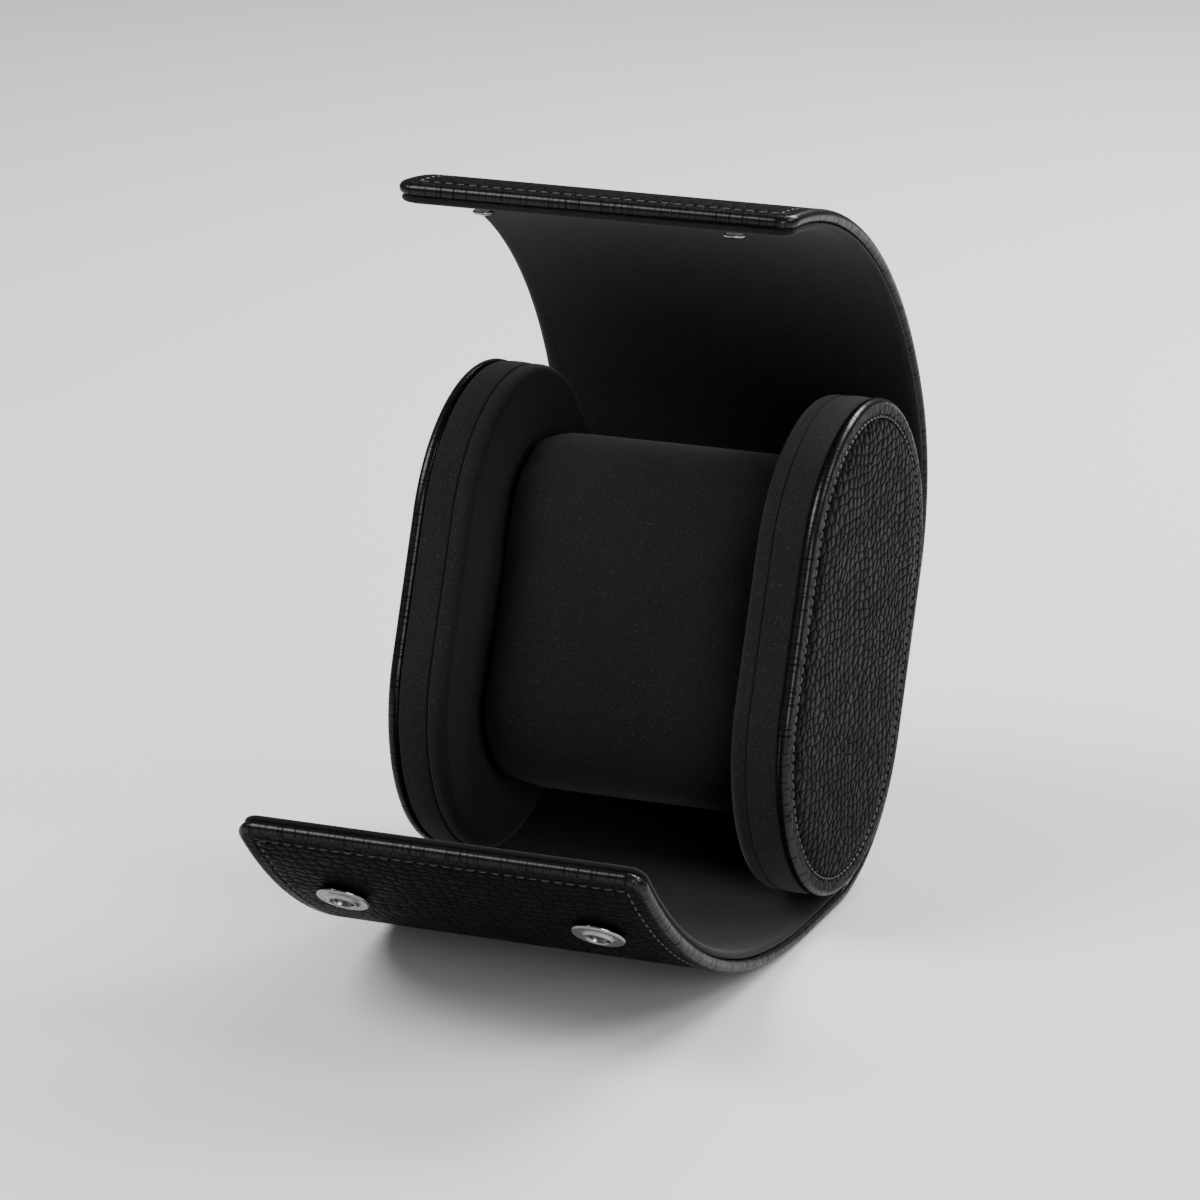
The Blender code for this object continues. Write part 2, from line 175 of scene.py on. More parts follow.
panel_low, panel_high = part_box("face_leather_left")
MIDDLE_Y = (panel_low.y + panel_high.y) / 2
MIDDLE_Z = (panel_low.z + panel_high.z) / 2


# Places ---------------------------------------------------------------------------------------------------

def standing(x, y, z):
    """Case-frame coordinates turned back by LEAN about X and moved to the frame's middle of the case."""
    x, y, z = np.broadcast_arrays(x, y, z)
    row_y = y * math.cos(LEAN) + z * math.sin(LEAN) + MIDDLE_Y
    row_z = z * math.cos(LEAN) - y * math.sin(LEAN) + MIDDLE_Z
    return np.stack((x, row_y, row_z), axis=-1)


def standing_way(x, y, z):
    """A direction of the case frame, turned back by LEAN."""
    x, y, z = np.broadcast_arrays(x, y, z)
    row_y = y * math.cos(LEAN) + z * math.sin(LEAN)
    row_z = z * math.cos(LEAN) - y * math.sin(LEAN)
    return np.stack((x, row_y, row_z), axis=-1)


def walk(run, runs):
    """Place and heading after going run along straight and evenly turning stretches, one after another.

    Each stretch adds the chord of the part of it that is walked, aimed halfway through that part's turn.
    """
    y = np.full_like(run, WRAP_RADIUS)
    z = np.zeros_like(run)
    heading = np.full_like(run, math.pi / 2)
    left = run.copy()
    for length, turn in runs:
        part = np.clip(left, 0.0, length)
        swing = turn * part / length
        chord = part if turn == 0 else 2 * length / turn * np.sin(swing / 2)
        y += chord * np.cos(heading + swing / 2)
        z += chord * np.sin(heading + swing / 2)
        heading += swing
        left = left - part
    return y, z, heading


def on_wrap(s, depth=0.0):
    """Case-frame y and z at s along the sheet, positive up the back, and depth out from its lining face."""
    s = np.asarray(s, float)
    up = walk(np.maximum(s, 0.0), UPPER_RUNS)
    down = walk(np.maximum(-s, 0.0), LOWER_RUNS)
    y, z, heading = (np.where(s >= 0, a, b) for a, b in zip(up, down))
    side = np.where(s >= 0, 1.0, -1.0)
    return y + depth * np.sin(heading), side * (z - depth * np.cos(heading))


def wrap_outward(s):
    """Case-frame y and z of the direction out of the sheet at s."""
    near, far = on_wrap(s, 0.0), on_wrap(s, MM)
    return (far[0] - near[0]) / MM, (far[1] - near[1]) / MM


# Meshes ---------------------------------------------------------------------------------------------------

def grid_quads(rows, columns, round_rows=False, round_columns=False):
    """Quads of a grid stored row by row; a round direction joins its last line to its first."""
    i = np.arange(rows if round_rows else rows - 1)[:, None]
    j = np.arange(columns if round_columns else columns - 1)[None, :]
    i_next, j_next = (i + 1) % rows, (j + 1) % columns
    corners = (i * columns + j, i * columns + j_next, i_next * columns + j_next, i_next * columns + j)
    return np.stack(np.broadcast_arrays(*corners), axis=-1).reshape(-1, 4)


def shut_in(points, faces):
    """Volume that the faces shut in: a fan of tetrahedra from the origin to each face."""
    total = 0.0
    for group in faces:
        corners = points[group]
        for k in range(1, corners.shape[1] - 1):
            across = np.cross(corners[:, k], corners[:, k + 1])
            total += np.einsum("ij,ij->i", corners[:, 0], across).sum() / 6
    return total


def make_piece(name, points, faces, material, marks=None, crease=40.0):
    """Mesh object of a closed surface, its faces turned outwards by the sign of the volume they shut in.

    faces is a list of index arrays, one row for each face. marks are values kept on the points, by name.
    Points that meet, as at poles and tips, are welded.
    """
    points = np.asarray(points, float).reshape(-1, 3)
    if shut_in(points, faces) < 0:
        faces = [group[:, ::-1] for group in faces]
    mesh = bpy.data.meshes.new(name)
    mesh.from_pydata(points.tolist(), [], [row for group in faces for row in group.tolist()])
    for mark, values in (marks or {}).items():
        values = np.asarray(values, np.float32)
        vector = values.size == points.size
        kept = mesh.attributes.new(mark, "FLOAT_VECTOR" if vector else "FLOAT", "POINT")
        kept.data.foreach_set("vector" if vector else "value", values.ravel())
    weld = bmesh.new()
    weld.from_mesh(mesh)
    bmesh.ops.remove_doubles(weld, verts=weld.verts, dist=1e-6)
    bmesh.ops.dissolve_degenerate(weld, edges=weld.edges, dist=1e-7)
    weld.to_mesh(mesh)
    weld.free()
    mesh.shade_smooth()
    mesh.set_sharp_from_angle(angle=math.radians(crease))
    mesh.materials.append(material)
    piece = bpy.data.objects.new(name, mesh)
    bpy.context.scene.collection.objects.link(piece)
    return piece


# Shader groups and finishes -------------------------------------------------------------------------------

def fill_in(tree, node, inputs):
    """Gives a node's inputs; each is a value or the output that feeds it."""
    for name, value in inputs.items():
        if isinstance(value, bpy.types.NodeSocket):
            tree.links.new(value, node.inputs[name])
        else:
            node.inputs[name].default_value = value


def add(tree, kind, inputs=None, **settings):
    """Node with its inputs and settings."""
    made = tree.nodes.new(kind)
    for name, value in settings.items():
        setattr(made, name, value)
    fill_in(tree, made, inputs or {})
    return made


def maths(tree, operation, a, b=0.0, c=0.0):
    return add(tree, "ShaderNodeMath", {0: a, 1: b, 2: c}, operation=operation).outputs[0]


def vector_maths(tree, operation, *inputs):
    return add(tree, "ShaderNodeVectorMath", dict(enumerate(inputs)), operation=operation).outputs[0]


def times(tree, a, b):
    return maths(tree, "MULTIPLY", a, b)


def spread(tree, value, low, high, to_low=0.0, to_high=1.0):
    """Value eased from to_low to to_high as it goes from low to high."""
    inputs = {"Value": value, "From Min": low, "From Max": high, "To Min": to_low, "To Max": to_high}
    return add(tree, "ShaderNodeMapRange", inputs, interpolation_type="SMOOTHSTEP").outputs[0]


def noise(tree, place, scale, detail=2.0, roughness=0.5, output=0):
    inputs = {"Vector": place, "Scale": scale, "Detail": detail, "Roughness": roughness}
    return add(tree, "ShaderNodeTexNoise", inputs).outputs[output]


def new_group(name, inputs, outputs):
    """Node group with named sockets: (name, kind, value) in, names of the values out."""
    group = bpy.data.node_groups.new(name, "ShaderNodeTree")
    for label, kind, value in inputs:
        socket = group.interface.new_socket(name=label, in_out="INPUT", socket_type=kind)
        if value is not None:
            socket.default_value = value
    for label in outputs:
        group.interface.new_socket(name=label, in_out="OUTPUT", socket_type="NodeSocketFloat")
    return group, group.nodes.new("NodeGroupInput").outputs, group.nodes.new("NodeGroupOutput")


def make_pebble_group():
    """Pebble grain of a flat hide: round domes between creases, wavering in rows, with pores on them.

    The cells are those of a flat place, drawn out a little along its first direction. The height falls off
    from each cell's middle and dips at its border; slow noise makes the rows waver.
    """
    group, given, out = new_group(
        "pebble_grain",
        (("Place", "NodeSocketVector", None), ("Cells per Metre", "NodeSocketFloat", PEBBLES_PER_METRE)),
        ("Height", "Crease", "Patch"))
    place = given["Place"]
    waver = noise(group, place, 60.0, 1.0, output="Color")
    centred = vector_maths(group, "SUBTRACT", waver, (0.5, 0.5, 0.5))
    moved = vector_maths(group, "MULTIPLY_ADD", centred, (0.005, 0.005, 0.005), place)
    drawn = vector_maths(group, "MULTIPLY", moved, (0.8, 1.0, 1.0))
    cells = {"Vector": drawn, "Scale": given["Cells per Metre"], "Randomness": 0.62}
    border = add(group, "ShaderNodeTexVoronoi", cells, feature="DISTANCE_TO_EDGE",
                 voronoi_dimensions="2D").outputs["Distance"]
    middle = add(group, "ShaderNodeTexVoronoi", {**cells, "Smoothness": 0.25}, feature="SMOOTH_F1",
                 voronoi_dimensions="2D").outputs["Distance"]
    dome = spread(group, middle, 0.05, 0.75, 1.0, 0.0)
    shore = times(group, spread(group, border, 0.0, 0.24), 0.35)
    swollen = maths(group, "MULTIPLY_ADD", dome, 0.65, shore)
    wrinkle = noise(group, place, 1500.0, 2.0, 0.6)
    pores = noise(group, place, 5200.0)
    height = maths(group, "MULTIPLY_ADD", wrinkle, 0.16, times(group, swollen, 0.8))
    fill_in(group, out, {
        "Height": maths(group, "MULTIPLY_ADD", pores, 0.03, height),
        # Crease marks the cell borders, where the leather is duller and its colour is darkened as painted
        # shade
        "Crease": spread(group, border, 0.0, 0.14, 1.0, 0.0),
        "Patch": noise(group, place, 160.0, 3.0),
    })
    return group


def make_rim_group():
    """Fine wrinkles across a turned edge: noise drawn out across the rim, kept near the rim by its depth."""
    group, given, out = new_group(
        "rim_wrinkles",
        (("Run", "NodeSocketFloat", 0.0), ("Depth", "NodeSocketFloat", 0.0),
         ("Reach", "NodeSocketFloat", SHEET_RIM)),
        ("Height", "Rim"))
    short = times(group, given["Depth"], 0.16)
    place = add(group, "ShaderNodeCombineXYZ", {0: given["Run"], 1: short}).outputs[0]
    fine = noise(group, place, 1500.0, 2.0, 0.6)
    broad = noise(group, place, 330.0, 1.0)
    folds = times(group, spread(group, fine, 0.44, 0.7), spread(group, broad, 0.35, 0.62, 0.35, 1.0))
    share = maths(group, "DIVIDE", given["Depth"], given["Reach"])
    rim = spread(group, share, 0.7, 1.05, 1.0, 0.0)
    fill_in(group, out, {"Height": times(group, folds, rim), "Rim": rim})
    return group


def make_nap_group():
    """Suede nap: fibre ends as fine noise, brushed patches as slow noise."""
    group, given, out = new_group(
        "suede_nap", (("Place", "NodeSocketVector", None),), ("Height", "Fleck", "Brushed"))
    place = given["Place"]
    fibre = noise(group, place, 2600.0, 3.0, 0.7)
    tuft = noise(group, place, 900.0)
    fill_in(group, out, {
        "Height": maths(group, "MULTIPLY_ADD", tuft, 0.6, fibre),
        "Fleck": spread(group, fibre, 0.54, 0.78),
        "Brushed": spread(group, noise(group, place, 48.0, 3.0), 0.3, 0.7),
    })
    return group


def new_finish(name):
    """Material with its node tree and Principled shader."""
    material = bpy.data.materials.new(name)
    material.use_nodes = True
    return material, material.node_tree, material.node_tree.nodes["Principled BSDF"]


def use_group(tree, group, inputs):
    return add(tree, "ShaderNodeGroup", inputs, node_tree=group).outputs


def mark(tree, name, output="Fac"):
    """Value kept on the mesh's points."""
    return add(tree, "ShaderNodeAttribute", attribute_name=name).outputs[output]


def on_object(tree):
    return add(tree, "ShaderNodeTexCoord").outputs["Object"]


def on_side(tree):
    """Place seen from the side: y and z of Object coordinates."""
    place = add(tree, "ShaderNodeSeparateXYZ", {0: on_object(tree)}).outputs
    return add(tree, "ShaderNodeCombineXYZ", {0: place[1], 1: place[2]}).outputs[0]


def on_sheet(tree):
    """Place on the flat sheet: across it and along it."""
    return mark(tree, "sheet_place", "Vector")


def tinted(tree, amount, low, high):
    """Colour between low and high by amount; low is a colour or the output that feeds it."""
    low = low if isinstance(low, bpy.types.NodeSocket) else (*low, 1.0)
    made = add(tree, "ShaderNodeMix", data_type="RGBA")
    fill_in(tree, made, {"Factor": amount, 6: low, 7: (*high, 1.0)})
    return made.outputs[2]


def relief(tree, height, depth, normal=None):
    """Normal of a height that rises by depth metres, on top of normal if it is given."""
    inputs = {"Height": height, "Distance": depth, "Strength": 1.0}
    if normal is not None:
        inputs["Normal"] = normal
    return add(tree, "ShaderNodeBump", inputs).outputs[0]


def make_leather(name, groups, grain_place, reach, grain_depth):
    """Black pebbled leather: creases dull and darkened with painted shade, turned edge wrinkled and smoother,
    bead waxed.
    """
    material, tree, shader = new_finish(name)
    pebbled = {"Place": grain_place(tree), "Cells per Metre": PEBBLES_PER_METRE}
    grain = use_group(tree, groups["pebble"], pebbled)
    depth = mark(tree, "rim_depth")
    rim = use_group(tree, groups["rim"], {"Run": mark(tree, "rim_run"), "Depth": depth, "Reach": reach})
    pebbles = times(tree, grain["Height"], spread(tree, rim["Rim"], 0.0, 1.0, 1.0, 0.12))
    worn = spread(tree, grain["Patch"], 0.3, 0.7, 0.4, 0.5)
    dull = maths(tree, "MULTIPLY_ADD", grain["Crease"], 0.2, worn)
    bead = spread(tree, depth, WAX_FULL, WAX_NONE, 1.0, 0.0)
    fill_in(tree, shader, {
        # Colour darkened in the creases between pebbles: painted shade
        "Base Color": tinted(tree, grain["Crease"], LEATHER_BLACK, CREASE_PAINTED_SHADE),
        "Roughness": maths(tree, "SUBTRACT", dull, times(tree, rim["Rim"], 0.15)),
        "Normal": relief(tree, rim["Height"], WRINKLE_DEPTH, relief(tree, pebbles, grain_depth)),
        "Coat Weight": times(tree, bead, spread(tree, rim["Height"], 0.0, 0.6, 0.4, 0.08)),
        "Coat Roughness": 0.26,
        "Specular IOR Level": 0.016,
    })
    return material


def make_suede(name, groups, colour, fleck):
    """Short black nap that lightens where light grazes it."""
    material, tree, shader = new_finish(name)
    nap = use_group(tree, groups["nap"], {"Place": on_object(tree)})
    ground = tinted(tree, nap["Brushed"], colour, tuple(1.35 * c for c in colour))
    fill_in(tree, shader, {
        "Base Color": tinted(tree, nap["Fleck"], ground, fleck),
        "Normal": relief(tree, nap["Height"], NAP_DEPTH),
        "Roughness": 0.92,
        "Specular IOR Level": 0.2,
        "Sheen Weight": 0.12,
        "Sheen Roughness": 0.42,
        "Sheen Tint": (0.55, 0.55, 0.58, 1.0),
    })
    return material


def make_nickel():
    """Polished nickel with handling marks in its gloss."""
    material, tree, shader = new_finish("polished_nickel")
    place = on_object(tree)
    handled = noise(tree, place, 420.0, 4.0, 0.6)
    fill_in(tree, shader, {
        "Base Color": tinted(tree, handled, NICKEL_DARK, NICKEL_LIGHT),
        "Metallic": 1.0,
        "Roughness": spread(tree, handled, 0.35, 0.7, 0.14, 0.26),
        "Normal": relief(tree, noise(tree, place, 1700.0), 0.01 * MM),
    })
    return material


def make_speckled(name, dark, light, roughness, depth, scale, *texture):
    """Thread, board or foam: fine noise in its colour and its relief."""
    material, tree, shader = new_finish(name)
    speckle = noise(tree, on_object(tree), scale, *texture)
    fill_in(tree, shader, {
        "Base Color": tinted(tree, speckle, dark, light),
        "Normal": relief(tree, speckle, depth),
        "Roughness": roughness,
    })
    return material


def make_hidden(name, grey, scale):
    """Board or foam inside a piece."""
    return make_speckled(name, tuple(0.7 * c for c in grey), grey, 0.9, 0.1 * MM, scale, 3.0, 0.6)


def make_finishes():
    groups = {"pebble": make_pebble_group(), "rim": make_rim_group(), "nap": make_nap_group()}
    return {
        "face_leather": make_leather("face_leather", groups, on_side, FACE_RIM, FACE_GRAIN),
        "sheet_leather": make_leather("sheet_leather", groups, on_sheet, SHEET_RIM, SHEET_GRAIN),
        "lining_suede": make_suede("lining_suede", groups, LINING_BLACK, LINING_FLECK),
        "panel_suede": make_suede("panel_suede", groups, PANEL_BLACK, PANEL_FLECK),
        "cushion_suede": make_suede("cushion_suede", groups, CUSHION_BLACK, CUSHION_FLECK),
        "nickel": make_nickel(),
        "thread": make_speckled("black_thread", THREAD_DARK, THREAD_LIGHT, 0.55, 0.06 * MM, 3300.0),
        "board": make_hidden("grey_board", BOARD_GREY, 900.0),
        "foam": make_hidden("grey_foam", FOAM_GREY, 1400.0),
    }


# Sheet ----------------------------------------------------------------------------------------------------

def leather_section(inwards):
    """Outer and inner depth of the leather shell at a distance in from its edge.

    A half round bead carries the edge; a shallow crease runs inside it on the outer face.
    """
    middle = (WRAP_THICKNESS + LEATHER_BACK) / 2
    half = (WRAP_THICKNESS - LEATHER_BACK) / 2
    swell = half * np.sqrt(1 - (1 - np.clip(inwards / half, 0.0, 1.0)) ** 2)
    crease = STITCH_DEPTH * np.exp(-(((inwards - STITCH_INSET) / (0.45 * MM)) ** 2))
    return middle + swell - crease, middle - swell


def lining_section(inwards):
    """Hidden and visible depth of the lining: its edge is a full soft roll, a little proud of the rest."""
    edge = 0.6 * LINING_BACK
    rise = np.sqrt(1 - (1 - np.clip(inwards / (0.5 * MM), 0.0, 1.0)) ** 2)
    swell = np.sqrt(1 - (1 - np.clip(inwards / LINING_SHOULDER, 0.0, 1.0)) ** 2)
    roll = ROLL_RISE * swell * np.exp(-(((inwards - ROLL_INWARDS) / ROLL_SPREAD) ** 2))
    return edge + (LINING_BACK - edge) * rise, edge * (1 - swell) - roll


def rounding_steps(reach, count):
    """Distances in from an edge over a quarter round, close together at the edge."""
    return reach * (1 - np.cos(np.linspace(0, math.pi / 2, count)))


def crease_steps():
    """Distances in from an edge, close together over the stitched crease."""
    return np.arange(3.0, 5.3, 0.22) * MM


def edge_marks(span, fine):
    """Distances in from an edge: rounding steps over fine, then close steps past a crease, then wide ones."""
    close = crease_steps()
    wide = np.linspace(6.5 * MM, span, 12)
    return np.concatenate((rounding_steps(fine, 9), close[close > fine + 0.1 * MM], wide))


def strip_rows(start, end, tip, corner, fine):
    """Places along the sheet for one strip's rows, closer together at a tip."""
    if not tip:
        count = max(6, round(abs(end - start) / MM))
        return np.linspace(start, end, count + 1)
    length = abs(end - start)
    wide = np.arange(5.8 * MM, length - 0.5 * MM, 1.0 * MM)
    back = (rounding_steps(fine, 9), rounding_steps(corner, 13), crease_steps(), wide, [length])
    back = np.unique(np.round(np.concatenate(back), 7))
    return end - math.copysign(1.0, end) * back[::-1]


def make_strip(name, start, end, tip, inset, fine, section, material):
    """One length of one layer of the sheet, from start to end along it.

    Across a row, columns lie at set distances in from the row's two edges. Depth comes from section at the
    distance in from the outline: straight sides, and where the strip ends at a tip, a straight end with
    rounded corners. The two faces meet at the outline, and cut ends are closed.
    """
    half_width = WRAP_WIDTH / 2 - inset
    corner = TIP_CORNER - inset
    last = end - math.copysign(inset, end) if tip else end
    s = strip_rows(start, last, tip, corner, fine)
    from_tip = np.abs(last - s) if tip else np.full_like(s, 1.0)
    reach = np.clip(from_tip, 0.0, corner)
    row_half = half_width - corner + np.sqrt(corner**2 - (corner - reach) ** 2)
    share = 1 - edge_marks(half_width, fine) / half_width
    share = np.concatenate((-share, share[-2::-1]))
    x = row_half[:, None] * share[None, :]
    along = np.broadcast_to(from_tip[:, None], x.shape)
    out_x = np.abs(x) - (half_width - corner)
    out_s = corner - along
    in_corner = (out_x > 0) & (out_s > 0)
    inwards = np.where(in_corner, corner - np.hypot(out_x, out_s), np.minimum(half_width - np.abs(x), along))
    inwards = np.maximum(inwards, 0.0)
    run = np.where(in_corner, corner * np.arctan2(np.maximum(out_s, 0.0), np.maximum(out_x, 1e-9)), out_s)
    past = corner * math.pi / 2 + (half_width - corner - np.abs(x))
    run = np.where((out_x <= 0) & (along < half_width - np.abs(x)), past, run)
    if not tip:
        run = np.broadcast_to(s[:, None], x.shape)
    outer, inner = section(inwards)
    columns = x.shape[1]
    grid_s = np.broadcast_to(s[:, None], x.shape)
    both = []
    for depth in (outer, inner):
        y, z = on_wrap(grid_s, depth)
        both.append(standing(x, y, z))
    ring = np.concatenate((both[0], both[1][:, -2:0:-1]), axis=1)

    def round_the_ring(values):
        return np.concatenate((values, values[:, -2:0:-1]), axis=1)

    rows, around = ring.shape[:2]
    faces = [grid_quads(rows, around, round_columns=True)]
    front = np.arange(columns)
    behind = np.concatenate(([0], np.arange(around - 1, columns - 1, -1), [columns - 1]))
    for row in ((0,) if tip else (0, rows - 1)):
        cap = np.stack((front[:-1], behind[:-1], behind[1:], front[1:]), axis=-1)
        cap = cap if row == 0 else cap[:, ::-1]
        faces.append(cap[1:-1] + row * around)
        faces.append(np.array([cap[0][[0, 2, 3]], cap[-1][[0, 1, 3]]]) + row * around)
    place = np.stack((round_the_ring(x), round_the_ring(grid_s), np.zeros(ring.shape[:2])), axis=-1)
    marks = {"sheet_place": place, "rim_run": round_the_ring(run), "rim_depth": round_the_ring(inwards)}
    return make_piece(name, ring, faces, material, marks, crease=50.0)


def cut_places():
    """Hinge places and cut places along the sheet for each flap, from its start to its tip."""
    hinges = {"upper": [UPPER_START + h for h in UPPER_HINGES],
              "lower": [-(LOWER_START + h) for h in LOWER_HINGES]}
    cuts = {}
    for flap, marks in hinges.items():
        first = marks[0] - math.copysign(FIRST_CUT_BACK, marks[0])
        tip = UPPER_TIP if flap == "upper" else LOWER_TIP
        cuts[flap] = [first] + [(a + b) / 2 for a, b in zip(marks, marks[1:])] + [tip]
    cuts["lower"][1] += SHORT_STRIP_SHIFT
    return hinges, cuts


def make_sheet(finishes):
    """Leather and lining as a fixed back and one strip for each hinge line."""
    hinges, cuts = cut_places()
    low, high = cuts["lower"][0], cuts["upper"][0]
    layers = (
        ("leather", 0.0, (WRAP_THICKNESS - LEATHER_BACK) / 2, leather_section, "sheet_leather", "leather"),
        ("lining", LINING_INSET, LINING_SHOULDER, lining_section, "lining_suede", "suede"),
    )
    for layer, inset, fine, section, finish, slot in layers:
        form = (inset, fine, section, finishes[finish])
        thread = finishes["thread"] if layer == "leather" else None
        back = [make_strip(f"back_{layer}_sheet", low, high, False, *form)]
        if thread:
            back.append(strip_stitches("back_stitching", low, high, False, thread))
        for piece in back:
            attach(piece, "case")
        declare_strip(back[0], low, high, f"back_{layer}", *(["back_board"] if thread else []))
        for flap, marks in hinges.items():
            for k, hinge in enumerate(marks, 1):
                start, end = cuts[flap][k - 1:k + 1]
                tip = k == len(marks)
                strip = [make_strip(f"{flap}_{layer}_{k}", start, end, tip, *form)]
                if thread:
                    strip.append(strip_stitches(f"{flap}_stitching_{k}", start, end, tip, thread))
                room = BEND_SHARE * min(abs(hinge - start), abs(end - hinge), LONGEST_BEND)
                way = math.copysign(room, hinge)
                a, b = (standing(0.0, *on_wrap(place)) for place in (hinge - way, hinge + way))
                body = f"{flap}_flap_{k}"
                for piece in strip:
                    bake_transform(piece)
                declare_strip(strip[0], start, end, f"{body}_{layer}", *([f"{body}_board"] if thread else []))


def strip_stitches(name, start, end, tip, material):
    """Stitches in the crease along both long edges of one length of the sheet, and across it at a tip."""
    line = WRAP_WIDTH / 2 - STITCH_INSET
    last = end - math.copysign(STITCH_INSET, end) if tip else end
    count = max(1, round(abs(last - start) / STITCH_STEP))
    s = start + (last - start) * (np.arange(count) + 0.5) / count
    x, s = np.repeat((-line, line), count), np.tile(s, 2)
    across = np.zeros(2 * count)
    if tip:
        count = round(2 * line / STITCH_STEP)
        row = -line + 2 * line * (np.arange(count) + 0.5) / count
        x, s = np.append(x, row), np.append(s, np.full(count, last))
        across = np.append(across, np.ones(count))
    out_y, out_z = wrap_outward(s)
    places = standing(x, *on_wrap(s, WRAP_THICKNESS - STITCH_DEPTH))
    ways = standing_way(across, -out_z * (1 - across), out_y * (1 - across))
    outs = standing_way(0.0, out_y, out_z)
    return stitch_row(name, places, ways, outs, STITCH_LENGTH, STITCH_WIDTH, material)


def declare_strip(strip, start, end, *stands_for):
    """Hides the frame's nodes that one strip of the sheet stands for."""
    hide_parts(*stands_for)


# End panels -----------------------------------------------------------------------------------------------

def stadium_path():
    """Middle-line place, outward direction and run round an end panel, as case-frame arrays.

    Each half round end turns about one end of the middle line; each side walks along it.
    """
    turn = np.linspace(0, math.pi, 97)[:-1]
    climb = np.linspace(-HALF_STRAIGHT, HALF_STRAIGHT, 27)[:-1]
    still = np.zeros_like(turn)
    middle_y = np.zeros(2 * (len(turn) + len(climb)))
    middle_z = np.concatenate((still + HALF_STRAIGHT, -climb, still - HALF_STRAIGHT, climb))
    side = np.full_like(climb, math.pi)
    angle = np.concatenate((turn, side, turn + math.pi, 2 * side))
    run = np.concatenate((turn * END_RADIUS, math.pi * END_RADIUS + climb + HALF_STRAIGHT))
    run = np.concatenate((run, run + math.pi * END_RADIUS + 2 * HALF_STRAIGHT))
    return middle_y, middle_z, np.cos(angle), np.sin(angle), run


def panel_loft(name, side, profile, material, ring=False):
    """Carries a profile of (inset, depth in from the outer face) round the stadium.

    A profile that starts and ends at the middle line closes there; a ring profile closes on itself.
    """
    inset, depth = (np.array(column)[:, None] for column in zip(*profile))
    middle_y, middle_z, way_y, way_z, run = (values[None, :] for values in stadium_path())
    radius = END_RADIUS - inset
    x = side * (CASE_WIDTH / 2 - depth) + 0.0 * run
    points = standing(x, middle_y + radius * way_y, middle_z + radius * way_z)
    rows, columns = points.shape[:2]
    marks = {
        "rim_run": np.broadcast_to(run, (rows, columns)).ravel(),
        "rim_depth": np.broadcast_to(inset, (rows, columns)).ravel(),
    }
    return make_piece(name, points, [grid_quads(rows, columns, ring, True)], material, marks)


def arc(middle_inset, middle_depth, radius, start, end, steps):
    """Profile points on a round: angle 0 points out of the panel's rim, 90 degrees out of its face."""
    angles = np.radians(np.linspace(start, end, steps + 1))
    return [(middle_inset - radius * math.cos(a), middle_depth - radius * math.sin(a)) for a in angles]


def face_profile():
    """Flat back, half round bead, stitched groove, then a face that swells slightly over its padding."""
    bead = FACE_THICKNESS / 2
    steps = ((1.6, 2.8, 0.25), (2.9, 5.0, 0.14), (5.2, 9.0, 0.6), (10.0, 34.0, 2.4))
    inset = np.concatenate([np.arange(*step) for step in steps]) * MM
    past = inset - FACE_STITCH_INSET
    groove = 0.40 * MM * np.exp(-((past / (0.5 * MM)) ** 2))
    swell = 0.45 * MM * (1 - np.exp(-((np.maximum(past, 0.0) / (2.6 * MM)) ** 2)))
    settle = 0.12 * MM * np.exp(-(((past - 0.6 * MM) / (0.9 * MM)) ** 2))
    depth = groove + settle - swell
    front = list(zip(inset, depth))
    back = [(END_RADIUS, FACE_THICKNESS), (12 * MM, FACE_THICKNESS), (3 * MM, FACE_THICKNESS)]
    return back + arc(bead, bead, bead, -90, 90, 18) + front + [(END_RADIUS, front[-1][1])]


def band_profile():
    """Suede side band: a shallow swell between two rounded edges, closed behind."""
    start = FACE_THICKNESS - 0.1 * MM
    end = FACE_THICKNESS + BAND_WIDTH
    middle = BAND_INSET + SEAM_ROUND
    flat = end - start - 2 * SEAM_ROUND
    swell = [(BAND_INSET - 0.15 * MM * math.sin(math.pi * t), start + SEAM_ROUND + t * flat)
             for t in np.linspace(0, 1, 9)[1:-1]]
    first = arc(middle, start + SEAM_ROUND, SEAM_ROUND, 90, 0, 6)
    last = arc(middle, end - SEAM_ROUND, SEAM_ROUND, 0, -90, 6)
    return first + swell + last + [(BAND_INSET + 2 * SUEDE, end), (BAND_INSET + 2 * SUEDE, start)]


def cup_profile():
    """Inner cup: from the seam round a soft inner edge to the inner face, which swells a little."""
    start = FACE_THICKNESS + BAND_WIDTH + 0.05 * MM
    end = PANEL_THICKNESS
    back = [(END_RADIUS, end - SUEDE), (3 * MM, end - SUEDE), (BAND_INSET + 2 * SUEDE, start)]
    first = arc(BAND_INSET + SEAM_ROUND, start + SEAM_ROUND, SEAM_ROUND, 90, 0, 6)
    last = arc(BAND_INSET + CUP_ROUND, end - CUP_ROUND, CUP_ROUND, 0, -90, 12)
    inset = np.array([3.5, 5, 7, 10, 14, 19, 25, 31]) * MM
    face = [(i, end) for i in inset]
    return back + first + last + face + [(END_RADIUS, end)]


def stitch_row(name, places, ways, outs, length, width, material):
    """Row of stitches: each a fat capsule laid along its way, half sunk.

    A capsule is a ring of points carried along its way, its radius falling to nothing at both ends.
    """
    long, around = 9, 6
    steps = np.linspace(-1, 1, long)[:, None]
    turn = np.linspace(0, 2 * math.pi, around + 1)[:-1][None, :]
    radius = width / 2 * np.sqrt(1 - np.abs(steps) ** 3)
    along = length / 2 * steps + 0 * turn
    across, up = radius * np.cos(turn), radius * np.sin(turn)
    sides = np.cross(ways, outs)
    parts = ((along, ways), (across, sides), (up, outs))
    stitch = sum(size[None, ..., None] * way[:, None, None, :] for size, way in parts)
    stitch = stitch + places[:, None, None, :]
    one = grid_quads(long, around, round_columns=True)
    faces = (one[None] + (long * around * np.arange(len(places)))[:, None, None]).reshape(-1, 4)
    return make_piece(name, stitch, [faces], material, crease=80.0)


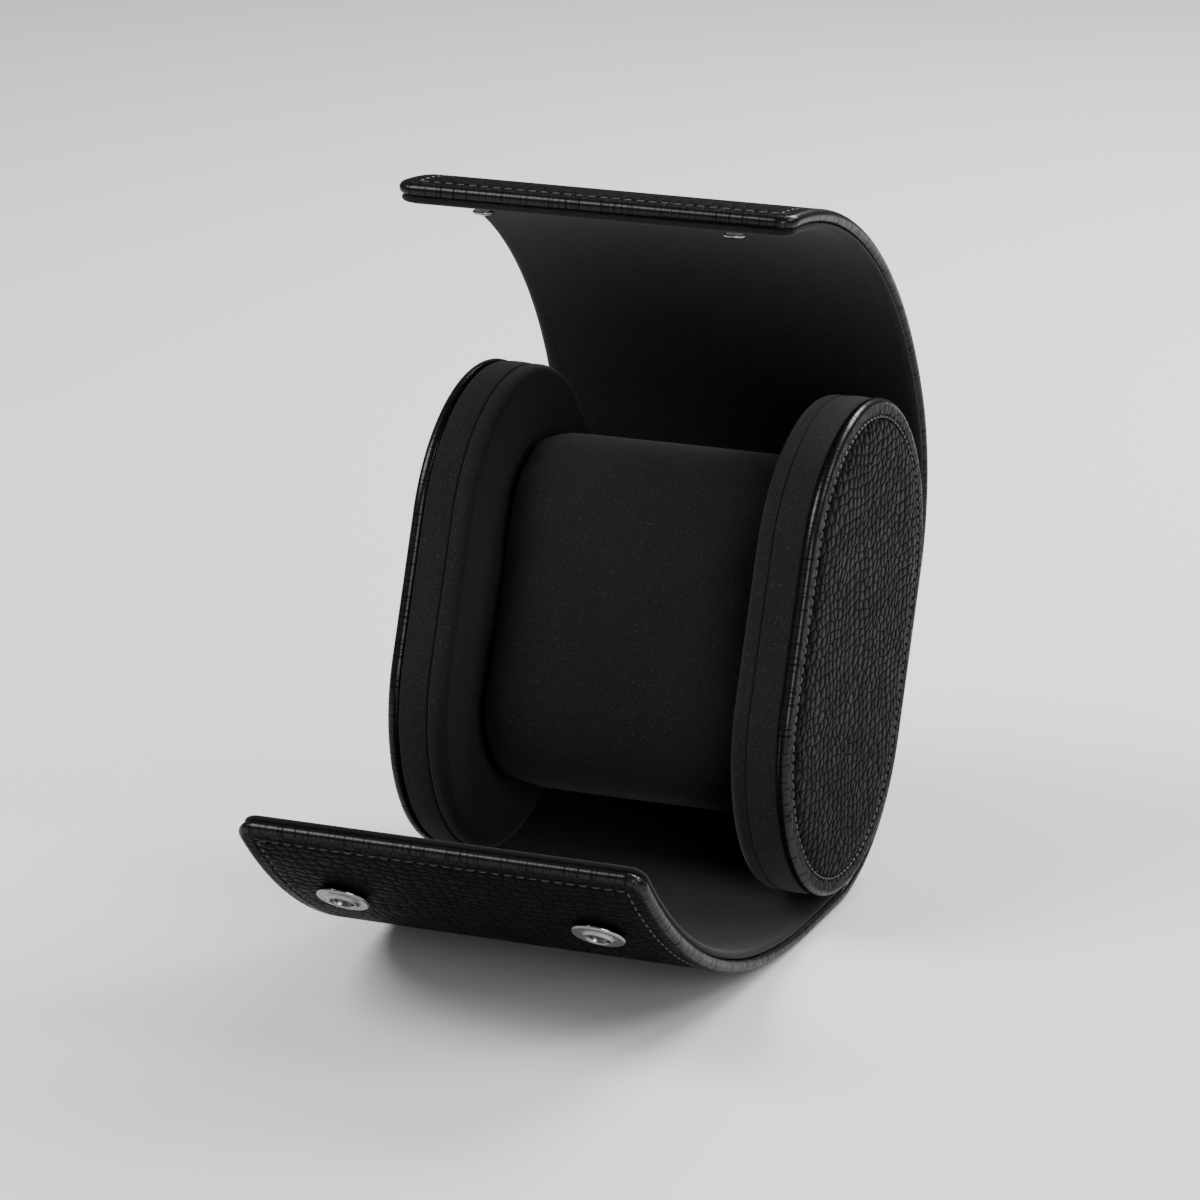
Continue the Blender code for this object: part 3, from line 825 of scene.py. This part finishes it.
def panel_stitches(name, side, material):
    """Stitches evenly spaced round an end panel, lying in its groove."""
    middle_y, middle_z, way_y, way_z, _ = stadium_path()
    radius = END_RADIUS - FACE_STITCH_INSET
    y, z = middle_y + radius * way_y, middle_z + radius * way_z
    y, z = np.append(y, y[0]), np.append(z, z[0])
    gone = np.concatenate(([0.0], np.cumsum(np.hypot(np.diff(y), np.diff(z)))))
    count = round(gone[-1] / FACE_STITCH_STEP)
    at = gone[-1] * (np.arange(count) + 0.5) / count
    ahead = at + 0.2 * MM
    y_at, z_at = np.interp(at, gone, y), np.interp(at, gone, z)
    way_y, way_z = np.interp(ahead, gone, y) - y_at, np.interp(ahead, gone, z) - z_at
    size = np.hypot(way_y, way_z)
    places = standing(side * (CASE_WIDTH / 2 - FACE_STITCH_DEPTH), y_at, z_at)
    ways = standing_way(0.0, way_y / size, way_z / size)
    outs = np.broadcast_to(np.array([float(side), 0.0, 0.0]), ways.shape)
    return stitch_row(name, places, ways, outs, FACE_STITCH_LENGTH, FACE_STITCH_WIDTH, material)


def make_panels(finishes):
    for side, name in ((-1, "left"), (1, "right")):
        face = panel_loft(f"end_face_{name}", side, face_profile(), finishes["face_leather"])
        band = panel_loft(f"end_band_{name}", side, band_profile(), finishes["panel_suede"], ring=True)
        cup = panel_loft(f"end_cup_{name}", side, cup_profile(), finishes["panel_suede"])
        stitches = panel_stitches(f"face_stitching_{name}", side, finishes["thread"])
        for piece, slot in ((face, "leather"), (band, "suede"), (cup, "suede"), (stitches, "suede")):
            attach(piece, "case")
        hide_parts(f"face_leather_{name}")
        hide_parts(f"side_band_{name}")
        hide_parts(f"inner_cup_{name}")


# Cushion --------------------------------------------------------------------------------------------------

def cushion_form():
    """Rounded box carried across: its outline draws in over the last stretch before each end."""
    half = PANEL_INNER - GAP - ROOM_TO_SWELL
    turn = np.linspace(0, math.pi / 2, 9)
    in_end, out_end = CUSHION_EDGE * (1 - np.sin(turn)), CUSHION_EDGE * (1 - np.cos(turn))
    flat = np.linspace(CUSHION_EDGE - half, half - CUSHION_EDGE, 11)[1:-1]
    return np.concatenate((out_end - half, flat, half - in_end)), np.concatenate((in_end, 0 * flat, out_end))


def rounded_box(inset):
    """Outline of the cushion's side, drawn in by inset: four quarter rounds joined by straights."""
    corner = CUSHION_CORNER - inset
    half_y, half_z = CUSHION_DEPTH / 2 - CUSHION_CORNER, CUSHION_HEIGHT / 2 - CUSHION_CORNER
    steps = 15
    angle = np.concatenate([math.pi / 2 * k + np.linspace(0, math.pi / 2, steps) for k in range(4)])
    side_y = np.repeat((1.0, -1.0, -1.0, 1.0), steps)
    side_z = np.repeat((1.0, 1.0, -1.0, -1.0), steps)
    return side_y * half_y + corner * np.cos(angle), side_z * half_z + corner * np.sin(angle) + CUSHION_RISE


def make_cushion(finishes):
    """Stuffed suede block: a rounded box puffed out as cloth, its ends held flat between the cups."""
    x, inset = cushion_form()
    rings = [rounded_box(ROOM_TO_SWELL + i) for i in inset]
    y, z = (np.array([ring[k] for ring in rings]) for k in (0, 1))
    points = standing(x[:, None], y, z)
    rows, columns = points.shape[:2]
    ends = [np.arange(columns)[None, ::-1], np.arange(columns)[None, :] + (rows - 1) * columns]
    cushion = make_piece("cushion_pad", points, [grid_quads(rows, columns, round_columns=True)] + ends,
                         finishes["cushion_suede"])
    puff(cushion, CLOTH_CELL, MOST_SWELL, PANEL_INNER - GAP)
    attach(cushion, "cushion")
    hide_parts("cushion_cover", "cushion_foam", "cushion_end_left", "cushion_end_right")


def puff(piece, voxel, most, half_width):
    """Remesh and inflate a pad as cloth, move no point by more than most, and keep it within half_width."""
    bpy.context.view_layer.objects.active = piece
    remesh = piece.modifiers.new("even_cells", "REMESH")
    remesh.mode = "VOXEL"
    remesh.voxel_size = voxel
    bpy.ops.object.modifier_apply(modifier=remesh.name)
    count = len(piece.data.vertices)
    rest = np.empty(count * 3)
    piece.data.vertices.foreach_get("co", rest)
    rest = rest.reshape(-1, 3)
    cloth = piece.modifiers.new("stuffing", "CLOTH")
    cloth.settings.use_pressure = True
    cloth.settings.uniform_pressure_force = 4.0
    cloth.settings.effector_weights.gravity = 0.0
    for number in range(1, 21):
        bpy.context.scene.frame_set(number)
    shown = piece.evaluated_get(bpy.context.evaluated_depsgraph_get())
    swollen = np.empty(count * 3)
    shown.data.vertices.foreach_get("co", swollen)
    piece.modifiers.remove(cloth)
    bpy.context.scene.frame_set(1)
    moved = swollen.reshape(-1, 3) - rest
    far = np.maximum(np.linalg.norm(moved, axis=1, keepdims=True), 1e-9)
    rest = rest + moved * np.minimum(1.0, most / far)
    rest[:, 0] = np.clip(rest[:, 0], -half_width, half_width)
    piece.data.vertices.foreach_set("co", rest.ravel())
    smooth = piece.modifiers.new("smooth_cover", "SUBSURF")
    smooth.levels = 1
    smooth.render_levels = 1
    bpy.ops.object.modifier_apply(modifier=smooth.name)
    piece.data.shade_smooth()
    piece.data.update()


# Snap fasteners -------------------------------------------------------------------------------------------

def turned_piece(name, profile, x, s, depth, outward, material):
    """Turns a profile of (radius, height) about the direction out of the sheet's face at s."""
    radius, height = (np.array(column)[:, None] * MM for column in zip(*profile))
    turn = np.linspace(0, 2 * math.pi, 65)[:-1][None, :]
    out_y, out_z = (outward * v for v in wrap_outward(s))
    base_y, base_z = on_wrap(s, depth)
    over = radius * np.cos(turn)
    along = radius * np.sin(turn)
    y = base_y + height * out_y - along * out_z
    z = base_z + height * out_z + along * out_y
    points = standing(x + over, y, z)
    quads = grid_quads(*points.shape[:2], round_columns=True)
    return make_piece(name, points, [quads], material, crease=55.0)


def round_over(radius, height, size, start, end, steps=6):
    """Profile points of a rounding of the given size about (radius, height), angles from the axis's side."""
    angles = np.radians(np.linspace(start, end, steps + 1))
    return [(radius + size * math.cos(a), height + size * math.sin(a)) for a in angles]


def socket_profile():
    """Foot, rolled rim, dished face, a raised ring round the hole, and the hole's floor, in mm."""
    rim = round_over(4.75, 0.85, 0.5, -80, 100)
    ring = round_over(2.72, 1.5, 0.36, 0, 180)
    return ([(0.0, 0.0), (4.3, 0.0)] + rim + [(4.35, 1.25), (3.8, 1.2), (3.3, 1.26)] + ring
            + [(2.3, 1.3), (2.2, 0.5), (2.0, 0.42), (0.9, 0.4), (0.75, 0.62), (0.0, 0.68)])


def stud_profile():
    """Base washer, waist, rounded head with a small dimple, in mm."""
    washer = round_over(2.95, 0.22, 0.22, -90, 90)
    head = round_over(1.68, 1.78, 0.42, -60, 80)
    return ([(0.0, 0.0)] + washer + [(2.0, 0.46), (1.55, 0.62), (1.42, 0.9), (1.5, 1.25)] + head
            + [(1.1, 2.32), (0.6, 2.4), (0.35, 2.28), (0.0, 2.24)])


def make_snaps(finishes):
    for side, x in (("left", -SNAP_SPREAD), ("right", SNAP_SPREAD)):
        socket = turned_piece(f"socket_{side}", socket_profile(), x, LOWER_TIP + SOCKET_FROM_TIP,
                              WRAP_THICKNESS + GAP / 2, 1.0, finishes["nickel"])
        stud = turned_piece(f"stud_{side}", stud_profile(), x, UPPER_TIP - STUD_FROM_TIP, -GAP / 2, -1.0,
                            finishes["nickel"])
        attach(socket, f"lower_flap_{len(LOWER_HINGES)}")
        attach(stud, f"upper_flap_{len(UPPER_HINGES)}")
        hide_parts(f"snap_socket_{side}")
        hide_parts(f"snap_stud_{side}")


def finish_carried_nodes(finishes):
    """Board, foam and rivets stay as the frame has them, with their own materials."""
    for name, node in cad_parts.items():
        kinds = [kind for word, kind in CARRIED_FINISHES if word in name]
        if kinds:
            node.data.materials.clear()
            node.data.materials.append(finishes[kinds[0]])


# Stage ----------------------------------------------------------------------------------------------------

def look_at(obj, place, target):
    obj.location = place
    obj.rotation_mode = "QUATERNION"
    obj.rotation_quaternion = (Vector(target) - Vector(place)).to_track_quat("-Z", "Y")


def make_camera():
    lens = bpy.data.cameras.new("front_camera")
    lens.sensor_width = 36.0
    lens.lens = CAMERA_LENS
    lens.clip_start = 0.05
    camera = bpy.data.objects.new("front_camera", lens)
    bpy.context.scene.collection.objects.link(camera)
    look_at(camera, CAMERA_PLACE, CAMERA_TARGET)
    bpy.context.scene.camera = camera


def soft_light(name, place, size, power):
    light = bpy.data.lights.new(name, "AREA")
    light.shape = "RECTANGLE"
    light.size, light.size_y = size
    light.energy = power
    holder = bpy.data.objects.new(name, light)
    bpy.context.scene.collection.objects.link(holder)
    look_at(holder, place, (0.0, 0.0, 0.07))


def make_stage():
    """Pale floor, pale surroundings and four soft lights."""
    mesh = bpy.data.meshes.new("floor")
    corners = [(x * FLOOR_REACH, y * FLOOR_REACH, 0.0) for x, y in ((-1, -1), (1, -1), (1, 1), (-1, 1))]
    mesh.from_pydata(corners, [], [(0, 1, 2, 3)])
    material, tree, shader = new_finish("pale_floor")
    fill_in(tree, shader, {"Base Color": FLOOR_COLOUR, "Roughness": 0.75})
    mesh.materials.append(material)
    floor = bpy.data.objects.new("floor", mesh)
    bpy.context.scene.collection.objects.link(floor)
    world = bpy.data.worlds.new("pale_room")
    world.use_nodes = True
    background = world.node_tree.nodes["Background"]
    fill_in(world.node_tree, background, {"Color": ROOM_COLOUR, "Strength": ROOM_STRENGTH})
    bpy.context.scene.world = world
    for light in SOFTBOXES:
        soft_light(*light)


finishes = make_finishes()
make_camera()
make_stage()
make_sheet(finishes)
make_panels(finishes)
make_cushion(finishes)
make_snaps(finishes)
finish_carried_nodes(finishes)
